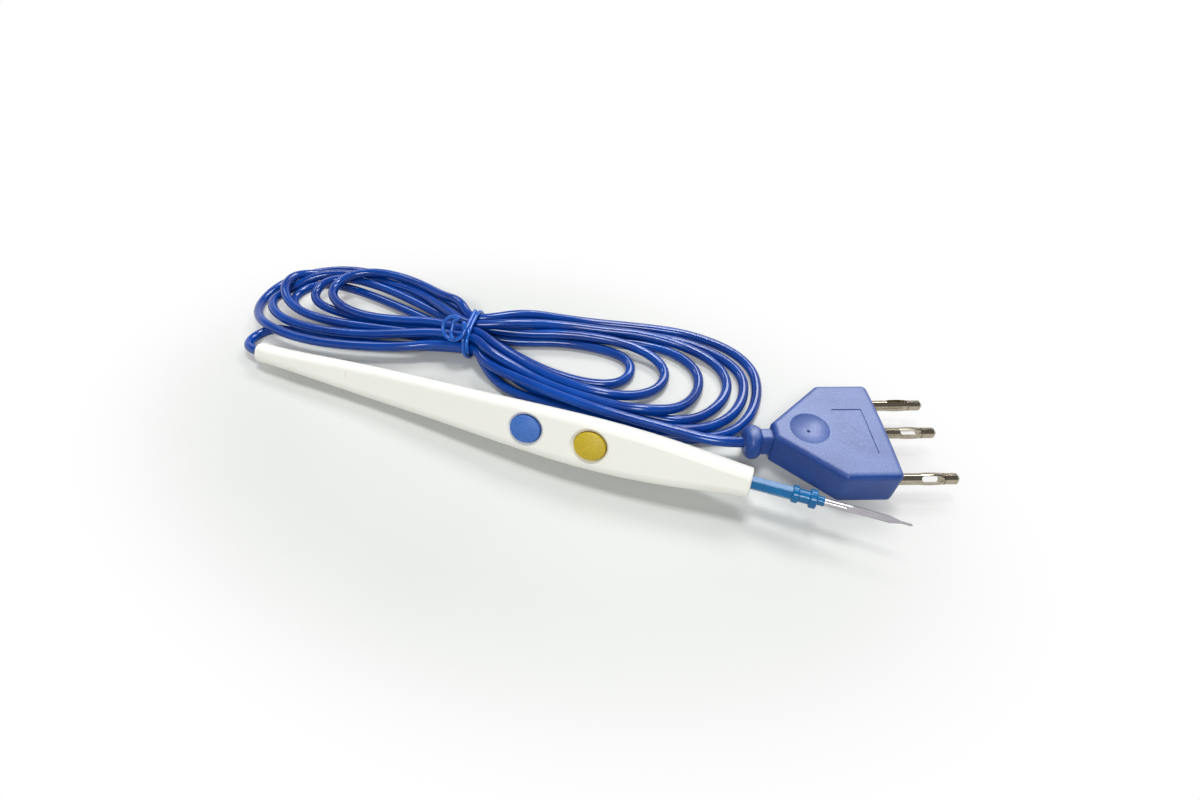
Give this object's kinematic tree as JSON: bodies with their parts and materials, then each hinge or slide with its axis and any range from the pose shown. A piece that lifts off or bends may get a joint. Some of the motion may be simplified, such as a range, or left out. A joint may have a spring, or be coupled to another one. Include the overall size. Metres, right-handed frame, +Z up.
{
  "type": "electrosurgical pencil",
  "caption": "Hand-switch electrosurgical pencil with press buttons, a plug-in blade electrode, and a tied coil of lead ending in a moulded banana-pin plug.",
  "frame": {"origin": "bottom centre of the handle with its electrode, as it lies on a table", "axes": "+X along the handle towards the electrode's tip, +Z up"},
  "size_m": [0.2866, 0.0838, 0.0191],
  "materials": {
    "shell_white": "satin",
    "button_blue": "fine grain",
    "button_yellow": "fine grain",
    "board_green": "matt",
    "dome_steel": "bright",
    "brass": "satin",
    "electrode_steel": "bright",
    "sleeve_blue": "satin",
    "lead_blue": "glossy",
    "core_white": "satin",
    "core_blue": "satin",
    "core_yellow": "satin",
    "plug_blue": "fine matt grain",
    "pin_nickel": "polished",
    "tie_blue": "satin"
  },
  "bodies": {
    "handle": {"upper_shell": "shell_white", "lower_shell": "shell_white", "switch_board": "board_green", "coag_dome": "dome_steel", "cut_dome": "dome_steel", "electrode_socket": "brass", "contact_strip": "brass", "cable_end": "lead_blue", "active_core": "core_white", "coag_core": "core_blue", "cut_core": "core_yellow", "plug_housing": "plug_blue", "pin_coag": "pin_nickel", "pin_cut": "pin_nickel", "pin_active": "pin_nickel", "plug_core_coag": "core_blue", "plug_core_cut": "core_yellow", "plug_core_active": "core_white", "handle_lead": "lead_blue", "cable_hank": "lead_blue", "twist_tie": "tie_blue", "plug_lead": "lead_blue"},
    "coag_button": {"coag_button": "button_blue"},
    "cut_button": {"cut_button": "button_yellow"},
    "electrode": {"electrode_blade": "electrode_steel", "electrode_sleeve": "sleeve_blue"}
  },
  "joints": [
    {"name": "coag_press", "type": "slide", "parent": "handle", "child": "coag_button", "axis": [0.0189, 0.7986, -0.6015], "range_m": [0, 0.0008], "stiffness_N_per_m": 100, "springref_m": -0.002, "deforming": ["coag_dome"]},
    {"name": "cut_press", "type": "slide", "parent": "handle", "child": "cut_button", "axis": [0.0189, 0.7986, -0.6015], "range_m": [0, 0.0008], "stiffness_N_per_m": 100, "springref_m": -0.002, "deforming": ["cut_dome"]},
    {"name": "electrode_pull", "type": "slide", "parent": "handle", "child": "electrode", "axis": [0.9995, 0, 0.0314], "range_m": [0, 0.024]}
  ]
}
